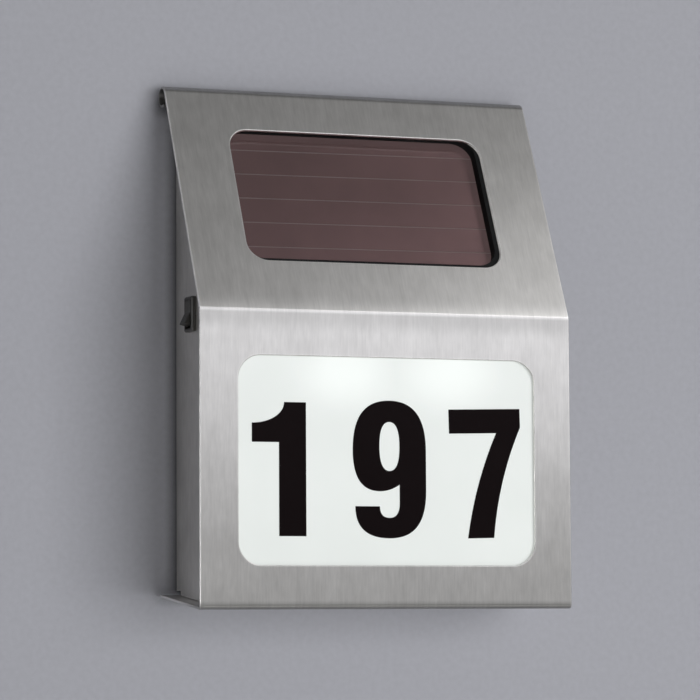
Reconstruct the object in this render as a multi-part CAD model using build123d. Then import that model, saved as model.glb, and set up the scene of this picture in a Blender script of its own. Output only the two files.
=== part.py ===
from build123d import *
import math
import os

# Solar house number light for a wall. Millimetres, X to the viewer's right, Y into the wall, Z up.
# The origin is on the wall plane, midway between the two wall screw holes.

# Front cover, one folded stainless sheet
COVER_WIDTH = 168.0
COVER_SHEET = 1.0
COVER_HEIGHT = 225.2          # lower edge to the crest of the rolled top edge
PANEL_HEIGHT = 125.2          # lower edge to the fold under the slope
CASE_DEPTH = 56.0             # wall plane to the outer face of the lower panel
SLOPE_FOLD_RADIUS = 3.0       # outside of the fold
LOWER_FOLD_RADIUS = 2.0
FLANGE_RISE = 6.2             # degrees that the flange under the case climbs towards the wall
FLANGE_TO_WALL = 2.0
ROLL_RADIUS = 4.6             # outside of the rolled top edge
ROLL_TAIL = 3.0               # flat end of the roll, running forward
ROLL_TO_WALL = 0.3
EDGE_RADIUS = 0.35            # outer cut edges, rounded off by polishing

# Openings in the cover, set out by the margins left round them
NUMBER_SIDE_MARGIN = 16.9
NUMBER_LOWER_MARGIN = 18.6
NUMBER_UPPER_MARGIN = 19.1    # up to the fold
NUMBER_RADIUS = 10.0
SOLAR_SIDE_MARGIN = 25.75
SOLAR_LOWER_MARGIN = 24.5     # up from the fold, along the slope
SOLAR_UPPER_MARGIN = 18.0     # up to the start of the roll
SOLAR_RADIUS = 9.0

# Wall tray, one folded stainless sheet inside the cover
TRAY_SHEET = 0.8
TRAY_FOLD_RADIUS = 1.6        # outside of each fold
SIDE_INSET = 7.7              # cover's side edge to the tray's side wall
FIT_GAP = 0.3                 # between tray and cover, all round
LIP_LENGTH = 18.0
LIP_RELIEF = 1.5              # lip and shelf ends to the side walls
HOOK_HEIGHT = 3.5
SIDE_TOP_DROP = 1.4           # shelf's underside to the top of the side walls
NOTCH_LENGTH = 7.0
NOTCH_HEIGHT = 2.0
WALL_HOLE_DROP = 35.2         # below the crest of the rolled top edge
WALL_HOLE_SPACING = 100.0
WALL_HOLE_DIAMETER = 5.0

# Opal number pane, its tape and the vinyl digits
PANE_THICKNESS = 3.0
PANE_OVERLAP = 5.0
PANE_RADIUS = 6.0
TAPE_THICKNESS = 0.5
TAPE_SETBACK = 1.0            # tape's inner edge back from the rim of the opening
DIGIT_FILM = 0.2
DIGIT_HEIGHT = 56.0
DIGIT_DROP = 3.65             # middle of the digits below the middle of the opening
DIGIT_ONE_MARGIN = 6.35       # from the opening's left edge
DIGIT_NINE_X = 0.8
DIGIT_SEVEN_MARGIN = 4.95     # from the opening's right edge
DIGIT_SEVEN_TURN = 1.4        # degrees, stuck on slightly askew
DIGIT_STROKE = 12.0           # width of a stem
DIGIT_FULLNESS = 0.67         # how far a round is drawn out towards its corner

# Solar panel, stuck on by hand and so a little off the middle of its opening
GASKET_THICKNESS = 4.5
GASKET_WIDTH = 5.5
GASKET_RISE = 1.5
PANEL_LEFT = 2.0              # gasket and panel both sit this far to the left
PANEL_RISE = 2.6
PANEL_TURN = 0.5              # degrees
GLASS_THICKNESS = 2.0
GLASS_OVERLAP = 4.8
CELL_COUNT = 6
CELL_END_MARGIN = 1.0
CELL_GAP = 0.5
CELL_SIDE_MARGIN = 1.5
CELL_THICKNESS = 0.2
BACK_THICKNESS = 0.8
CAP_LENGTH = 22.0
CAP_WIDTH = 14.0
CAP_THICKNESS = 5.0
CAP_RADIUS = 1.0
CAP_X = 22.0                  # from the middle of the panel
CAP_DROP = 17.0

# White light box behind the pane, and its pads
BOX_MARGIN = 2.0              # inside the pane's outline
BOX_WALL = 2.0
BOX_RADIUS = 6.0
BOX_DRAFT = 1.5               # degrees on the inner walls
PAD_THICKNESS = 1.0
PAD_WIDTH = 16.0
PAD_SPACING = 88.0

# Driver board on top of the light box
BOARD_LENGTH = 96.0
BOARD_WIDTH = 20.0
BOARD_THICKNESS = 1.6
BOARD_X = 4.2
BOARD_SETBACK = 6.0           # light box's front rim to the board
BOSS_HEIGHT = 2.0
BOSS_DIAMETER = 6.0
BOARD_SCREW_SPACING = 84.0
BOARD_SCREW_DIAMETER = 2.2
BOARD_SCREW_BITE = 1.2        # into the light box's top wall
BOARD_SCREW_HEAD = 4.0
BOARD_SCREW_HEAD_HEIGHT = 1.5
LED_SPACING = 46.6
LED_SETBACK = 6.0             # board's front edge to the lamps
LED_DIAMETER = 5.0
LED_FLANGE = 5.8
LED_FLANGE_HEIGHT = 1.0
LED_LENGTH = 8.6
LED_HOLE_CLEARANCE = 0.3
CHIP_LENGTH = 5.0
CHIP_WIDTH = 4.0
CHIP_HEIGHT = 1.5
CHIP_STANDOFF = 0.15
CHIP_LEGS = 4                 # on each side
CHIP_LEG_PITCH = 1.27
CHIP_LEG_WIDTH = 0.45
CHIP_LEG_REACH = 1.1
COIL_DIAMETER = 8.0
COIL_HEIGHT = 7.0
COIL_WAIST = 6.4
COIL_FLANGE = 1.2
CAPACITOR_DIAMETER = 6.3
CAPACITOR_HEIGHT = 9.0
CAPACITOR_GROOVE = 0.3
CAPACITOR_GROOVE_HEIGHT = 1.8
TALL_PARTS_X = 24.0           # coil to the right of the board's middle, capacitor to the left
TALL_PARTS_ROW = 2.5          # behind the board's middle

# Battery holder with two rechargeable cells, on the tray's back
CELL_DIAMETER = 14.2
CELL_LENGTH = 50.0
CELL_NIPPLE_DIAMETER = 5.5
CELL_NIPPLE_HEIGHT = 1.2
CELL_SPACING = 14.8
CELL_CLEARANCE = 0.3
CONTACT_ROOM = 2.2            # cell end to the holder's end wall
CONTACT_SHEET = 0.4
CONTACT_WIDTH = 8.0
TAB_LENGTH = 4.0
TAB_CLEARANCE = 0.15
HOLDER_WALL = 1.6
HOLDER_WALL_HEIGHT = 11.0     # above the holder's floor
HOLDER_RISE = 30.5            # above the light box
FINGER_NOTCH_RADIUS = 9.0

# Rocker switch in the left side wall
SWITCH_RISE = 0.2             # above the fold
SWITCH_DEPTH = 32.9           # behind the lower panel's outer face
BEZEL_HEIGHT = 15.0
BEZEL_WIDTH = 10.5
BEZEL_THICKNESS = 2.0
BEZEL_RADIUS = 1.0
SWITCH_BODY_HEIGHT = 13.6
SWITCH_BODY_WIDTH = 8.8
SWITCH_BODY_DEPTH = 11.0
SWITCH_CUTOUT_GAP = 0.15
SWITCH_WALL = 0.6
SWITCH_CAVITY_DEPTH = 4.6
SNAP_LENGTH = 3.5
SNAP_HEIGHT = 0.6
ROCKER_GAP = 0.2
ROCKER_LENGTH = 10.6
ROCKER_TILT = 13.0            # degrees each side of level
ROCKER_VALLEY = 2.4           # above the side wall
ROCKER_EDGE = 0.4             # rounding of the two finger ends
PIVOT_DEPTH = 0.5             # pivot behind the side wall's outer face
PIN_DIAMETER = 1.8
PIN_CLEARANCE = 0.05
PIN_LENGTH = 0.5
BLADE_WIDTH = 4.8
BLADE_THICKNESS = 0.8
BLADE_LENGTH = 6.5
BLADE_SPACING = 7.0
BLADE_SEAT = 3.0              # length of blade held inside the switch

# Cover screws and the nuts pressed into the tray's lower lip
COVER_SCREW_SPACING = 92.0
COVER_SCREW_SETBACK = 11.0    # from the wall plane, along the lip
COVER_SCREW_DIAMETER = 3.0
COVER_SCREW_LENGTH = 6.0
COVER_SCREW_HEAD = 5.6
COVER_SCREW_HEAD_HEIGHT = 2.0
COVER_SCREW_CLEARANCE = 0.2
NUT_DIAMETER = 6.0
NUT_HEIGHT = 2.5
THREAD_CLEARANCE = 0.05

# Leads inside the case
LEAD_DIAMETER = 1.3
LEAD_PAIR_SPACING = 5.0
LEAD_RISE = 12.0              # straight start of a lead
LEAD_ROW = 5.0                # solder points behind the board's middle
LEAD_BEND_SHARE = 0.45        # share of a straight run that one bend may take up

UP = (0, 0, 1)
DOWN = (0, 0, -1)
BOTTOM = WALL_HOLE_DROP - COVER_HEIGHT
FRONT = -CASE_DEPTH
FOLD = BOTTOM + PANEL_HEIGHT

# The slope runs from the fold to touch the roll, so its lean follows from those two
ROLL_Y = -ROLL_TO_WALL - ROLL_RADIUS
ROLL_Z = BOTTOM + COVER_HEIGHT - ROLL_RADIUS
FOLD_TO_ROLL = math.hypot(ROLL_Y - FRONT, ROLL_Z - FOLD)
LEAN = math.atan2(ROLL_Y - FRONT, ROLL_Z - FOLD) - math.asin(ROLL_RADIUS / FOLD_TO_ROLL)
SLOPE_LENGTH = math.sqrt(FOLD_TO_ROLL**2 - ROLL_RADIUS**2)
OUT_OF_SLOPE = Vector(0, -math.cos(LEAN), math.sin(LEAN))
SLOPE = Plane(origin=(0, FRONT, FOLD), x_dir=(1, 0, 0), z_dir=OUT_OF_SLOPE)

NUMBER_WIDTH = COVER_WIDTH - 2 * NUMBER_SIDE_MARGIN
NUMBER_HEIGHT = PANEL_HEIGHT - NUMBER_LOWER_MARGIN - NUMBER_UPPER_MARGIN
NUMBER_Z = BOTTOM + NUMBER_LOWER_MARGIN + NUMBER_HEIGHT / 2
SOLAR_WIDTH = COVER_WIDTH - 2 * SOLAR_SIDE_MARGIN
SOLAR_HEIGHT = SLOPE_LENGTH - SOLAR_LOWER_MARGIN - SOLAR_UPPER_MARGIN
SOLAR_CENTRE = SOLAR_LOWER_MARGIN + SOLAR_HEIGHT / 2

FLANGE_ANGLE = math.radians(FLANGE_RISE)
FLANGE_UP = Vector(0, -math.sin(FLANGE_ANGLE), math.cos(FLANGE_ANGLE))


def slope_y(z, inset):
    """Y of a line inside the slope's outer face, at height z."""
    return FRONT + (z - FOLD) * math.tan(LEAN) + inset / math.cos(LEAN)


def flange_z(y, inset):
    """Height of a line above the flange's outer face, at depth y."""
    return BOTTOM + (y - FRONT) * math.tan(FLANGE_ANGLE) + inset / math.cos(FLANGE_ANGLE)


def prism_x(face, x_min, x_max):
    """A profile drawn in Y and Z, run from one X to another."""
    return extrude(Plane.YZ.offset(x_min) * face, amount=x_max - x_min)


def folded(path, sheet, side):
    """Section of a sheet that follows one open path."""
    return make_face(path.offset_2d(sheet, side=side, closed=True))


def rounded_frame(plane, outer, outer_radius, inner, inner_radius, thickness):
    """Flat frame between two rounded rectangles, from the plane along its normal."""
    rim = RectangleRounded(outer[0], outer[1], outer_radius)
    hole = RectangleRounded(inner[0], inner[1], inner_radius)
    return extrude(plane * (rim - hole), amount=thickness)


def peg(start, direction, diameter, length):
    """Plain round pin from a point along a direction."""
    return extrude(Plane(origin=start, z_dir=direction) * Circle(diameter / 2), amount=length)


def shifted(plane, x, y):
    """The same plane with its origin moved within it."""
    return Plane(plane.location * Pos(x, y, 0))


def save(shape, node):
    os.makedirs("parts", exist_ok=True)
    shape.label = node
    export_step(shape, f"parts/{node}.step")


# Front cover: flange, lower panel, slope and rolled top edge from one path along the outer face
flange_end = (-FLANGE_TO_WALL, flange_z(-FLANGE_TO_WALL, 0))
roll_start = Vector(FRONT, FOLD) + Vector(math.sin(LEAN), math.cos(LEAN)) * SLOPE_LENGTH
bends = FilletPolyline(
    flange_end,
    (FRONT, BOTTOM),
    (FRONT, FOLD),
    roll_start,
    radius=[LOWER_FOLD_RADIUS, SLOPE_FOLD_RADIUS],
)
roll_turn = 270 - math.degrees(LEAN)
roll = JernArc(roll_start, (math.sin(LEAN), math.cos(LEAN)), ROLL_RADIUS, -roll_turn)
tail_end = roll @ 1 + Vector(-ROLL_TAIL, 0)
cover_path = Wire(bends.edges() + [roll, Line(roll @ 1, tail_end)])
front_cover = prism_x(folded(cover_path, COVER_SHEET, Side.RIGHT), -COVER_WIDTH / 2, COVER_WIDTH / 2)


def opening(plane, width, height, radius):
    """Cutter for an opening in the cover."""
    outline = RectangleRounded(width, height, radius)
    return extrude(plane * outline, amount=2 * COVER_SHEET, both=True)


NUMBER_FACE = Plane(origin=(0, FRONT, NUMBER_Z), x_dir=(1, 0, 0), z_dir=(0, -1, 0))
SOLAR_FACE = shifted(SLOPE, 0, SOLAR_CENTRE)
front_cover -= opening(NUMBER_FACE, NUMBER_WIDTH, NUMBER_HEIGHT, NUMBER_RADIUS)
front_cover -= opening(SOLAR_FACE, SOLAR_WIDTH, SOLAR_HEIGHT, SOLAR_RADIUS)

# The rims of both openings and the side edges are rounded off on the outer face
outer_line = Plane.YZ * cover_path
soft_edges = []
for edge in front_cover.edges():
    middle = edge.center()
    on_side = abs(middle.X) > COVER_WIDTH / 2 - EDGE_RADIUS
    on_rim = edge.length < NUMBER_WIDTH and not on_side
    if (on_side or on_rim) and outer_line.distance_to(Vertex(0, middle.Y, middle.Z)) < EDGE_RADIUS / 2:
        soft_edges.append(edge)
front_cover = fillet(soft_edges, EDGE_RADIUS)

# Where each cover screw enters the flange, on its outer face
screw_y = -COVER_SCREW_SETBACK
SCREW_SEATS = [
    Vector(side * COVER_SCREW_SPACING / 2, screw_y, flange_z(screw_y, 0)) for side in (-1, 1)
]
clear_diameter = COVER_SCREW_DIAMETER + 2 * COVER_SCREW_CLEARANCE
for seat in SCREW_SEATS:
    front_cover -= peg(seat - FLANGE_UP * COVER_SHEET, FLANGE_UP, clear_diameter, 3 * COVER_SHEET)
save(front_cover, "front_cover")

# Wall tray: back and side walls from one channel, trimmed to the inside of the cover
TRAY_HALF = COVER_WIDTH / 2 - SIDE_INSET
INSIDE = COVER_SHEET + FIT_GAP
tray_front = FRONT + INSIDE
shelf_z = ROLL_Z - ROLL_RADIUS - FIT_GAP
side_top = shelf_z - TRAY_SHEET - SIDE_TOP_DROP
fold_inside = FOLD - INSIDE * math.tan(LEAN / 2)

channel_path = FilletPolyline(
    (-TRAY_HALF, tray_front),
    (-TRAY_HALF, 0),
    (TRAY_HALF, 0),
    (TRAY_HALF, tray_front),
    radius=TRAY_FOLD_RADIUS,
)
channel = extrude(
    Plane.XY.offset(BOTTOM) * folded(channel_path, TRAY_SHEET, Side.RIGHT),
    amount=COVER_HEIGHT,
)
side_outline = FilletPolyline(
    (0, flange_z(0, INSIDE)),
    (tray_front, flange_z(tray_front, INSIDE)),
    (tray_front, fold_inside),
    (slope_y(side_top, INSIDE), side_top),
    (0, side_top),
    radius=[LOWER_FOLD_RADIUS, SLOPE_FOLD_RADIUS, 0],
)
side_face = make_face(side_outline.edges() + [Line(side_outline @ 1, side_outline @ 0)])
wall_tray = channel & prism_x(side_face, -TRAY_HALF, TRAY_HALF)

# Lower lip, back, upper shelf and the hook behind the cover's roll from one path along the outer face
hook_y = tail_end.X - FIT_GAP
spine_path = FilletPolyline(
    (-LIP_LENGTH, flange_z(-LIP_LENGTH, INSIDE)),
    (0, flange_z(0, INSIDE)),
    (0, shelf_z),
    (hook_y, shelf_z),
    (hook_y, shelf_z + HOOK_HEIGHT),
    radius=[TRAY_FOLD_RADIUS, TRAY_FOLD_RADIUS, TRAY_FOLD_RADIUS - TRAY_SHEET],
)
spine_half = TRAY_HALF - TRAY_FOLD_RADIUS - LIP_RELIEF
wall_tray += prism_x(folded(spine_path, TRAY_SHEET, Side.LEFT), -spine_half, spine_half)

# Relief notches at the lower ends of the side folds
for side in (-1, 1):
    notch_x = side * TRAY_HALF
    notch_width = 2 * (TRAY_HALF - spine_half) - LIP_RELIEF
    notch = Box(notch_width, 2 * NOTCH_LENGTH, 2 * NOTCH_HEIGHT)
    wall_tray -= Pos(notch_x, 0, flange_z(-NOTCH_LENGTH, INSIDE)) * notch

# Wall screw holes, nut seats in the lip and the switch cut-out
for side in (-1, 1):
    hole_start = Vector(side * WALL_HOLE_SPACING / 2, -2 * TRAY_SHEET, 0)
    wall_tray -= peg(hole_start, (0, 1, 0), WALL_HOLE_DIAMETER, 3 * TRAY_SHEET)
nut_bore = COVER_SCREW_DIAMETER + 2 * THREAD_CLEARANCE
for seat in SCREW_SEATS:
    wall_tray -= peg(seat, FLANGE_UP, clear_diameter, INSIDE + 2 * TRAY_SHEET)

SWITCH_Y = FRONT + SWITCH_DEPTH
SWITCH_Z = FOLD + SWITCH_RISE
SWITCH_FACE = Plane(origin=(-TRAY_HALF, SWITCH_Y, SWITCH_Z), x_dir=(0, -1, 0), z_dir=(-1, 0, 0))
cutout_gap = 2 * SWITCH_CUTOUT_GAP
cutout = Rectangle(SWITCH_BODY_WIDTH + cutout_gap, SWITCH_BODY_HEIGHT + cutout_gap)
wall_tray -= extrude(SWITCH_FACE * cutout, amount=-2 * TRAY_SHEET)
save(wall_tray, "wall_tray")

# Opal pane behind the number opening, on a frame of tape
pane_size = (NUMBER_WIDTH + 2 * PANE_OVERLAP, NUMBER_HEIGHT + 2 * PANE_OVERLAP)
tape_hole = (NUMBER_WIDTH + 2 * TAPE_SETBACK, NUMBER_HEIGHT + 2 * TAPE_SETBACK)
tape_back = NUMBER_FACE.offset(-COVER_SHEET - TAPE_THICKNESS)
pane_tape = rounded_frame(
    tape_back, pane_size, PANE_RADIUS, tape_hole, NUMBER_RADIUS + TAPE_SETBACK, TAPE_THICKNESS
)
save(pane_tape, "pane_tape")
pane_outline = RectangleRounded(pane_size[0], pane_size[1], PANE_RADIUS)
number_pane = extrude(tape_back * pane_outline, amount=-PANE_THICKNESS)
save(number_pane, "number_pane")


STEM = DIGIT_STROKE / DIGIT_HEIGHT


def quarter(start, corner, end):
    """Full quarter turn from start to end, drawn out towards a corner."""
    start, corner, end = Vector(*start), Vector(*corner), Vector(*end)
    leave = start + (corner - start) * DIGIT_FULLNESS
    arrive = end + (corner - end) * DIGIT_FULLNESS
    return Bezier(start, leave, arrive, end)


def digit_one():
    """Upright stem with a hollow-topped flag, in digit heights from its left edge."""
    flag_low, flag_high = 0.70, 0.843
    tip, right = 0.256, 2 * STEM
    hollow = EllipticalCenterArc((0, 1), tip, 1 - flag_high, 270, arc_size=90)
    rest = Polyline(
        (tip, 1),
        (right, 1),
        (right, 0),
        (STEM, 0),
        (STEM, flag_low),
        (0, flag_low),
        (0, flag_high),
    )
    return make_face([hollow, *rest.edges()])


def digit_nine():
    """Round head with an eye and a tail that curls under, in digit heights about its middle."""
    side, top, low = 0.296, 1.025, -0.013
    head, stem_low = 0.648, 0.345
    bowl_x, bowl = -0.079, 0.341
    notch, curl, counter = 0.393, 0.255, 0.141
    tail, tail_tip, tail_top = -0.277, -0.08, 0.227
    inside = side - STEM
    outline = make_face(
        [
            quarter((tail, tail_top), (tail, low), (0, low)),
            quarter((0, low), (side, low), (side, stem_low)),
            Line((side, stem_low), (side, head)),
            quarter((side, head), (side, top), (0, top)),
            quarter((0, top), (-side, top), (-side, head)),
            quarter((-side, head), (-side, bowl), (bowl_x, bowl)),
            TangentArc((bowl_x, bowl), (inside, notch), tangent=(1, 0)),
            Line((inside, notch), (inside, curl)),
            quarter((inside, curl), (inside, counter), (0, counter)),
            quarter((0, counter), (tail_tip, counter), (tail_tip, tail_top)),
            Line((tail_tip, tail_top), (tail, tail_top)),
        ]
    )
    eye_x, eye_z = 0.082, 0.185
    rim = [(eye_x, 0), (0, eye_z), (-eye_x, 0), (0, -eye_z)]
    turns = zip(rim, rim[1:] + rim[:1])
    eye = make_face([quarter(a, (a[0] + b[0], a[1] + b[1]), b) for a, b in turns])
    return outline - Pos(0, 0.679) * eye


def digit_seven():
    """Flat bar with a gently curved leg, in digit heights back from its right edge."""
    left, top, bar, shoulder = -0.588, 0.981, 0.798, 0.838
    throat, foot_right = -0.199, -0.242
    foot_left = foot_right - STEM
    outer = ThreePointArc((0, shoulder), (-0.167, 0.394), (foot_right, 0))
    inner = ThreePointArc((foot_left, 0), (-0.36, 0.399), (throat, bar))
    foot = Line((foot_right, 0), (foot_left, 0))
    head = Polyline((throat, bar), (left, bar), (left, top), (0, top), (0, shoulder))
    return make_face([outer, foot, inner, *head.edges()])


# Vinyl digits on the pane's front face
digit_foot = NUMBER_Z - DIGIT_DROP - DIGIT_HEIGHT / 2
DIGIT_LINE = Plane(
    origin=(0, FRONT + COVER_SHEET + TAPE_THICKNESS, digit_foot), x_dir=(1, 0, 0), z_dir=(0, -1, 0)
)
one_x = DIGIT_ONE_MARGIN - NUMBER_WIDTH / 2
seven_x = NUMBER_WIDTH / 2 - DIGIT_SEVEN_MARGIN
for node, outline, digit_x, turn in (
    ("digit_one", digit_one(), one_x, 0),
    ("digit_nine", digit_nine(), DIGIT_NINE_X, 0),
    ("digit_seven", digit_seven(), seven_x, DIGIT_SEVEN_TURN),
):
    placed = Pos(digit_x, 0) * Rot(0, 0, turn) * scale(outline, DIGIT_HEIGHT)
    save(extrude(DIGIT_LINE * placed, amount=DIGIT_FILM), node)

# Solar panel: gasket, glass, cell strips and back sheet, stacked behind the slope
gasket_hole = (SOLAR_WIDTH, SOLAR_HEIGHT)
gasket_size = (SOLAR_WIDTH + 2 * GASKET_WIDTH, SOLAR_HEIGHT + 2 * GASKET_WIDTH)
gasket_face = shifted(SOLAR_FACE, -PANEL_LEFT, GASKET_RISE)
gasket_back = gasket_face.offset(-COVER_SHEET - GASKET_THICKNESS)
solar_gasket = rounded_frame(
    gasket_back, gasket_size, SOLAR_RADIUS, gasket_hole, SOLAR_RADIUS, GASKET_THICKNESS
)
save(solar_gasket, "solar_gasket")

panel_face = shifted(gasket_back, 0, PANEL_RISE - GASKET_RISE)
panel_face = Plane(panel_face.location * Rot(0, 0, PANEL_TURN))
panel_size = (SOLAR_WIDTH + 2 * GLASS_OVERLAP, SOLAR_HEIGHT + 2 * GLASS_OVERLAP)
panel_outline = Rectangle(*panel_size)
solar_glass = extrude(panel_face * panel_outline, amount=-GLASS_THICKNESS)
save(solar_glass, "solar_glass")

cell_face = panel_face.offset(-GLASS_THICKNESS)
cell_pitch = (panel_size[1] - 2 * CELL_END_MARGIN) / CELL_COUNT
strip = Rectangle(panel_size[0] - 2 * CELL_SIDE_MARGIN, cell_pitch - CELL_GAP)
strips = [loc * strip for loc in GridLocations(0, cell_pitch, 1, CELL_COUNT)]
solar_cells = Compound([extrude(cell_face * s, amount=-CELL_THICKNESS).solid() for s in strips])
save(solar_cells, "solar_cells")

back_face = cell_face.offset(-CELL_THICKNESS)
solar_back = extrude(back_face * panel_outline, amount=-BACK_THICKNESS)
save(solar_back, "solar_back")

cap_seat = shifted(back_face.offset(-BACK_THICKNESS), CAP_X, -CAP_DROP)
cap_outline = RectangleRounded(CAP_LENGTH, CAP_WIDTH, CAP_RADIUS)
junction_cap = extrude(cap_seat * cap_outline, amount=-CAP_THICKNESS)
save(junction_cap, "junction_cap")

# White light box: open front towards the pane, board bosses on its top wall
box_size = (pane_size[0] - 2 * BOX_MARGIN, pane_size[1] - 2 * BOX_MARGIN)
box_inset = COVER_SHEET + TAPE_THICKNESS + PANE_THICKNESS + FIT_GAP
box_front = NUMBER_FACE.offset(-box_inset)
box_depth = CASE_DEPTH - box_inset - TRAY_SHEET - PAD_THICKNESS
light_box = extrude(box_front * RectangleRounded(box_size[0], box_size[1], BOX_RADIUS), amount=-box_depth)
cavity = RectangleRounded(box_size[0] - 2 * BOX_WALL, box_size[1] - 2 * BOX_WALL, BOX_RADIUS - BOX_WALL)
light_box -= extrude(box_front * cavity, amount=-(box_depth - BOX_WALL), taper=BOX_DRAFT)

box_top = NUMBER_Z + box_size[1] / 2
board_z = box_top + BOSS_HEIGHT
board_front = box_front.origin.Y + BOARD_SETBACK
BOARD = Plane(origin=(BOARD_X, board_front + BOARD_WIDTH / 2, board_z))
board_screws_at = [BOARD.from_local_coords((side * BOARD_SCREW_SPACING / 2, 0)) for side in (-1, 1)]
led_row = LED_SETBACK - BOARD_WIDTH / 2
leds_at = [BOARD.from_local_coords((side * LED_SPACING / 2, led_row)) for side in (-1, 1)]
boss_bore = BOARD_SCREW_DIAMETER + 2 * THREAD_CLEARANCE
for at in board_screws_at:
    light_box += peg(at, DOWN, BOSS_DIAMETER, BOSS_HEIGHT + BOX_WALL / 2)
    light_box -= peg(at, DOWN, boss_bore, BOSS_HEIGHT + BOARD_SCREW_BITE)
for at in leds_at:
    light_box -= peg(at, DOWN, LED_FLANGE + 2 * LED_HOLE_CLEARANCE, LED_LENGTH)
save(light_box, "light_box")

pads = []
for side in (-1, 1):
    pad = Box(PAD_WIDTH, PAD_THICKNESS, box_size[1] / 2)
    pads.append(Pos(side * PAD_SPACING / 2, -TRAY_SHEET - PAD_THICKNESS / 2, NUMBER_Z) * pad)
save(Compound(pads), "box_pads")

# Driver board and what is soldered to it
driver_board = extrude(BOARD * Rectangle(BOARD_LENGTH, BOARD_WIDTH), amount=BOARD_THICKNESS)
board_hole = BOARD_SCREW_DIAMETER + 2 * COVER_SCREW_CLEARANCE
for at in board_screws_at:
    driver_board -= peg(at, UP, board_hole, BOARD_THICKNESS)
save(driver_board, "driver_board")

dome_radius = LED_DIAMETER / 2
leds = []
for at in leds_at:
    flange = peg(at, DOWN, LED_FLANGE, LED_FLANGE_HEIGHT)
    stem = peg(at, DOWN, LED_DIAMETER, LED_LENGTH - dome_radius)
    dome = Pos(at - Vector(0, 0, LED_LENGTH - dome_radius)) * Sphere(dome_radius)
    leds.append((flange + stem + dome).solid())
save(Compound(leds), "leds")

board_top = BOARD.offset(BOARD_THICKNESS)
screws = []
for at in board_screws_at:
    top = at + Vector(0, 0, BOARD_THICKNESS)
    head = peg(top, UP, BOARD_SCREW_HEAD, BOARD_SCREW_HEAD_HEIGHT)
    head = fillet(head.edges().group_by(Axis.Z)[-1], BOARD_SCREW_HEAD_HEIGHT / 2)
    shank = peg(top, DOWN, BOARD_SCREW_DIAMETER, BOARD_THICKNESS + BOSS_HEIGHT + BOARD_SCREW_BITE)
    screws.append((head + shank).solid())
save(Compound(screws), "board_screws")

chip = extrude(board_top.offset(CHIP_STANDOFF) * Rectangle(CHIP_LENGTH, CHIP_WIDTH), amount=CHIP_HEIGHT)
leg = Box(CHIP_LEG_WIDTH, CHIP_LEG_REACH, CHIP_HEIGHT / 2, align=(Align.CENTER, Align.CENTER, Align.MIN))
for side in (-1, 1):
    for spot in GridLocations(CHIP_LEG_PITCH, 0, CHIP_LEGS, 1):
        chip += board_top * spot * Pos(0, side * (CHIP_WIDTH + CHIP_LEG_REACH) / 2) * leg
save(chip, "driver_chip")

coil_section = Polyline(
    (0, 0),
    (COIL_DIAMETER / 2, 0),
    (COIL_DIAMETER / 2, COIL_FLANGE),
    (COIL_WAIST / 2, COIL_FLANGE),
    (COIL_WAIST / 2, COIL_HEIGHT - COIL_FLANGE),
    (COIL_DIAMETER / 2, COIL_HEIGHT - COIL_FLANGE),
    (COIL_DIAMETER / 2, COIL_HEIGHT),
    (0, COIL_HEIGHT),
    close=True,
)
coil = revolve(Plane.XZ * make_face(coil_section), Axis.Z)
save(shifted(board_top, TALL_PARTS_X, TALL_PARTS_ROW) * coil, "driver_coil")

can = Cylinder(CAPACITOR_DIAMETER / 2, CAPACITOR_HEIGHT, align=(Align.CENTER, Align.CENTER, Align.MIN))
can = fillet(can.edges().group_by(Axis.Z)[-1], 2 * CAPACITOR_GROOVE)
groove = Pos(0, 0, CAPACITOR_GROOVE_HEIGHT) * Torus(CAPACITOR_DIAMETER / 2, CAPACITOR_GROOVE)
save(shifted(board_top, -TALL_PARTS_X, TALL_PARTS_ROW) * (can - groove), "driver_capacitor")

# Battery holder: open tray with a finger notch in each long wall
pocket_length = CELL_LENGTH + 2 * CONTACT_ROOM
pocket_height = CELL_SPACING + CELL_DIAMETER + 2 * CELL_CLEARANCE
holder_back = -TRAY_SHEET - PAD_THICKNESS
holder_depth = HOLDER_WALL + HOLDER_WALL_HEIGHT
holder_length = pocket_length + 2 * HOLDER_WALL
holder_height = pocket_height + 2 * HOLDER_WALL
holder_z = box_top + HOLDER_RISE + holder_height / 2
HOLDER = Plane(origin=(0, holder_back, holder_z), x_dir=(1, 0, 0), z_dir=(0, -1, 0))
holder_outline = RectangleRounded(holder_length, holder_height, HOLDER_WALL)
pocket = Rectangle(pocket_length, pocket_height)
battery_holder = extrude(HOLDER * holder_outline, amount=holder_depth)
battery_holder -= extrude(HOLDER.offset(HOLDER_WALL) * pocket, amount=holder_depth)
finger = Plane(origin=(0, holder_back - holder_depth - FINGER_NOTCH_RADIUS / 3, HOLDER.origin.Z))
battery_holder -= extrude(finger * Circle(FINGER_NOTCH_RADIUS), amount=holder_height, both=True)

cell_axis_y = holder_back - HOLDER_WALL - CELL_CLEARANCE - CELL_DIAMETER / 2
tab_y = cell_axis_y + CELL_DIAMETER / 4
contact_half = pocket_length / 2
cell_half = CELL_LENGTH / 2
row_z = [HOLDER.origin.Z + side * CELL_SPACING / 2 for side in (1, -1)]
tab_slot = Box(4 * HOLDER_WALL, CONTACT_SHEET + 2 * TAB_CLEARANCE, CONTACT_WIDTH + 2 * TAB_CLEARANCE)
for z in row_z:
    battery_holder -= Pos(-contact_half, tab_y - CONTACT_SHEET / 2, z) * tab_slot
save(battery_holder, "battery_holder")

pad = Box(holder_length / 2, PAD_THICKNESS, holder_height / 2)
save(Pos(0, -TRAY_SHEET - PAD_THICKNESS / 2, HOLDER.origin.Z) * pad, "holder_pad")

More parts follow.
